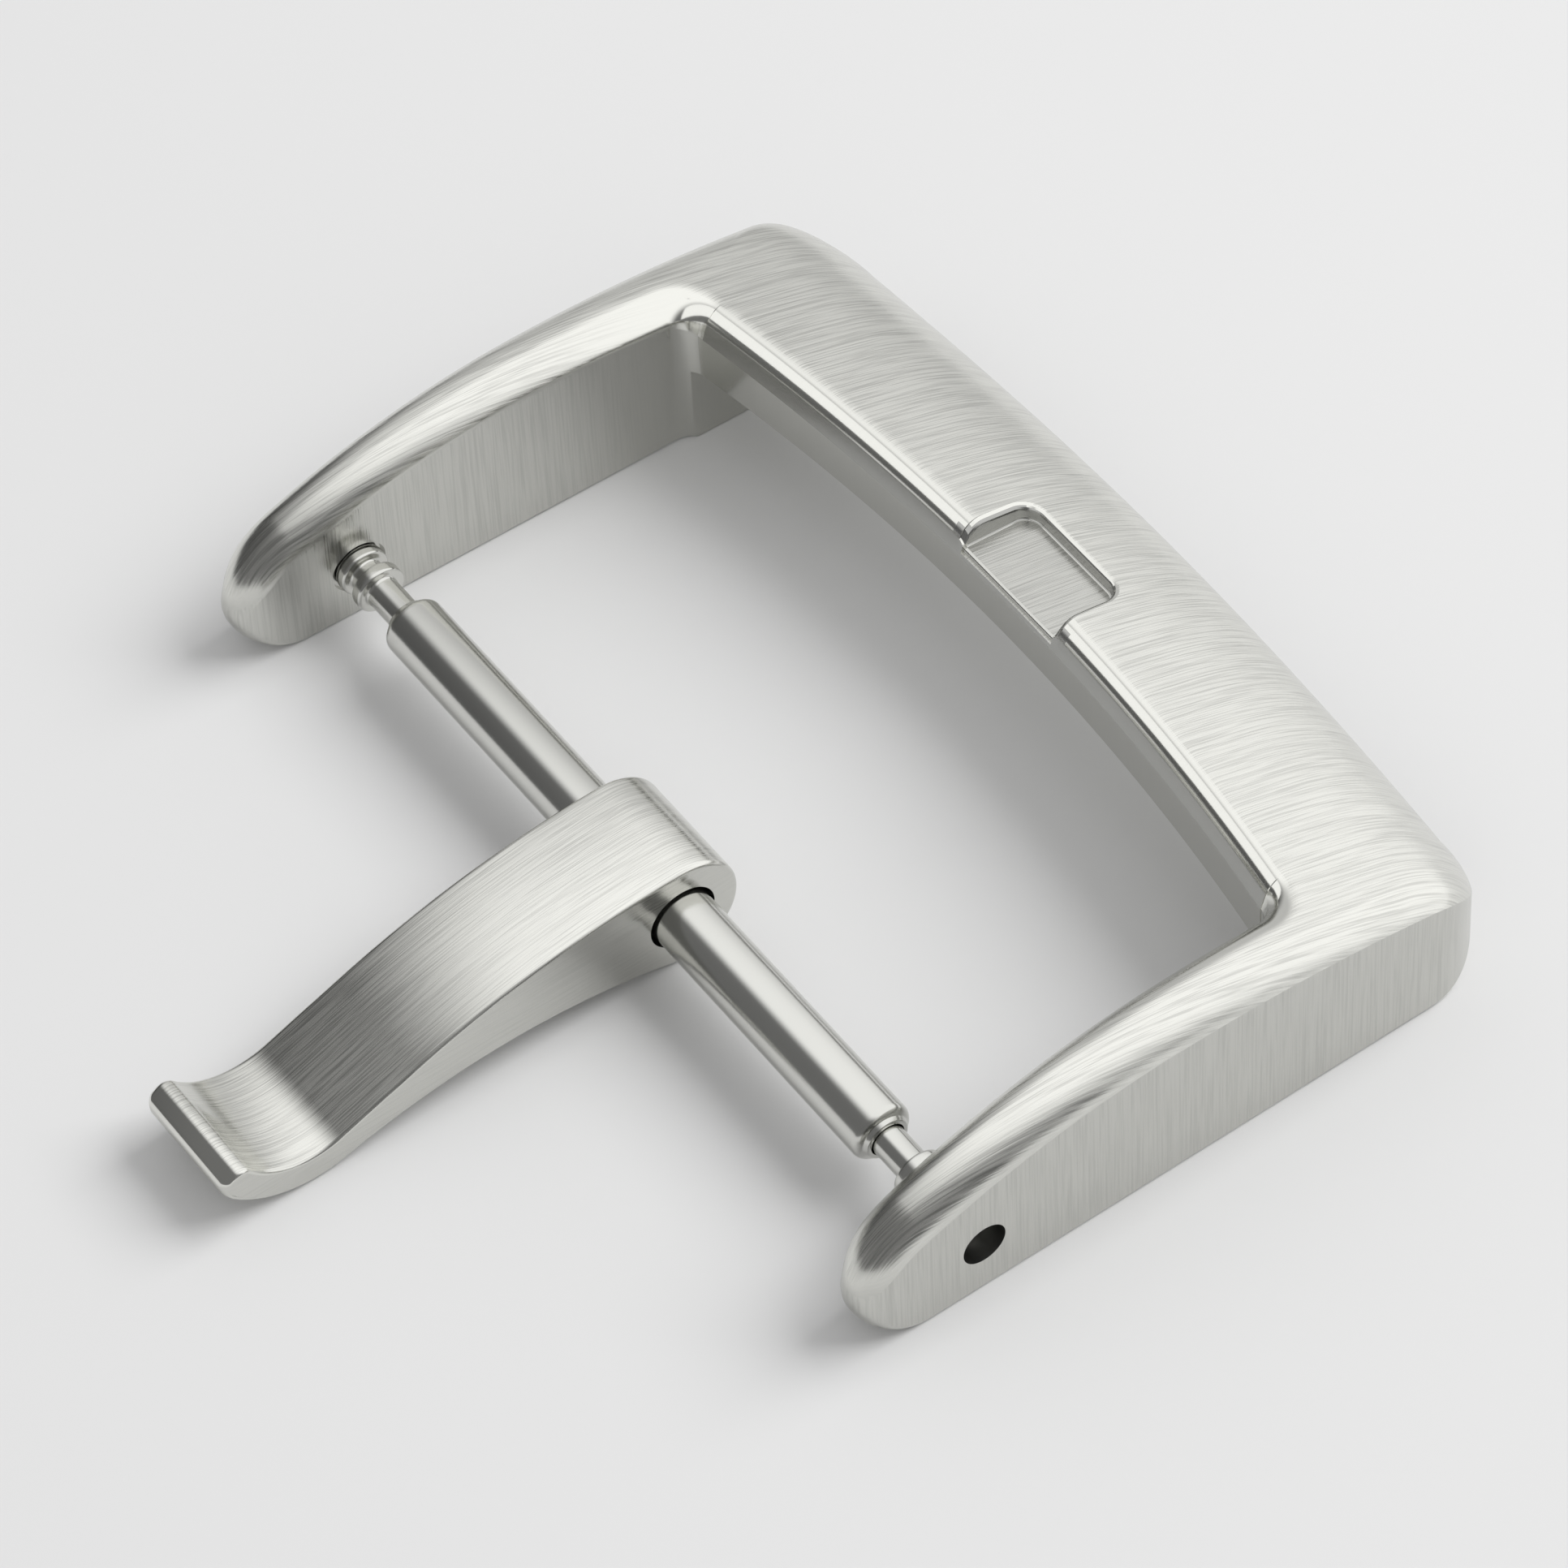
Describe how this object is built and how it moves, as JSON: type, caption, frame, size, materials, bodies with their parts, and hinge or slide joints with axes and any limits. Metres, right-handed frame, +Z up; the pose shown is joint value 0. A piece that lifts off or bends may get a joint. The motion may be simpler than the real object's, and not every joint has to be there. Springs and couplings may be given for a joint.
{
  "type": "watch tang buckle",
  "caption": "Watch strap tang buckle: a bowed, domed steel frame with a curled tang that swings on a sprung bar between its arms and rests in a notch.",
  "frame": {"origin": "middle of the footprint of the frame and the open tang, on the table", "axes": "+X along the spring bar, +Y from the bar to the front of the frame, +Z up from the table; the bar's axis is at y -1.151 mm, z 1.52 mm"},
  "size_m": [0.025, 0.0264, 0.0047],
  "materials": {
    "satin_steel": "stainless steel, satin brushed from the bar to the front, with softly polished edges",
    "tang_steel": "stainless steel, brushed along its length, with fine polished edges",
    "polished_steel": "turned stainless steel, bright polished",
    "spring_wire": "drawn spring wire, plain"
  },
  "bodies": {
    "frame": {"buckle_frame": "satin_steel"},
    "spring_bar": {"spring_bar_tube": "polished_steel", "spring_bar_spring": "spring_wire"},
    "pin_left": {"end_pin_left": "polished_steel"},
    "pin_right": {"end_pin_right": "polished_steel"},
    "tang": {"tang": "tang_steel"}
  },
  "joints": [
    {"name": "bar_spin", "type": "hinge", "parent": "frame", "child": "spring_bar", "pos_m": [0, -0.00115, 0.00152], "axis": [1, 0, 0], "continuous": true},
    {"name": "pin_left_press", "type": "slide", "parent": "spring_bar", "child": "pin_left", "axis": [1, 0, 0], "range_m": [0, 0.001], "stiffness_N_per_m": 1500, "springref_m": -0.0007, "deforming": ["spring_bar_spring"]},
    {"name": "pin_right_press", "type": "slide", "parent": "spring_bar", "child": "pin_right", "axis": [-1, 0, 0], "range_m": [0, 0.001], "stiffness_N_per_m": 1500, "springref_m": -0.0007, "deforming": ["spring_bar_spring"]},
    {"name": "tang_hinge", "type": "hinge", "parent": "frame", "child": "tang", "pos_m": [0, -0.00115, 0.00152], "axis": [-1, 0, 0], "range_deg": [-175.6, 167.6]}
  ]
}
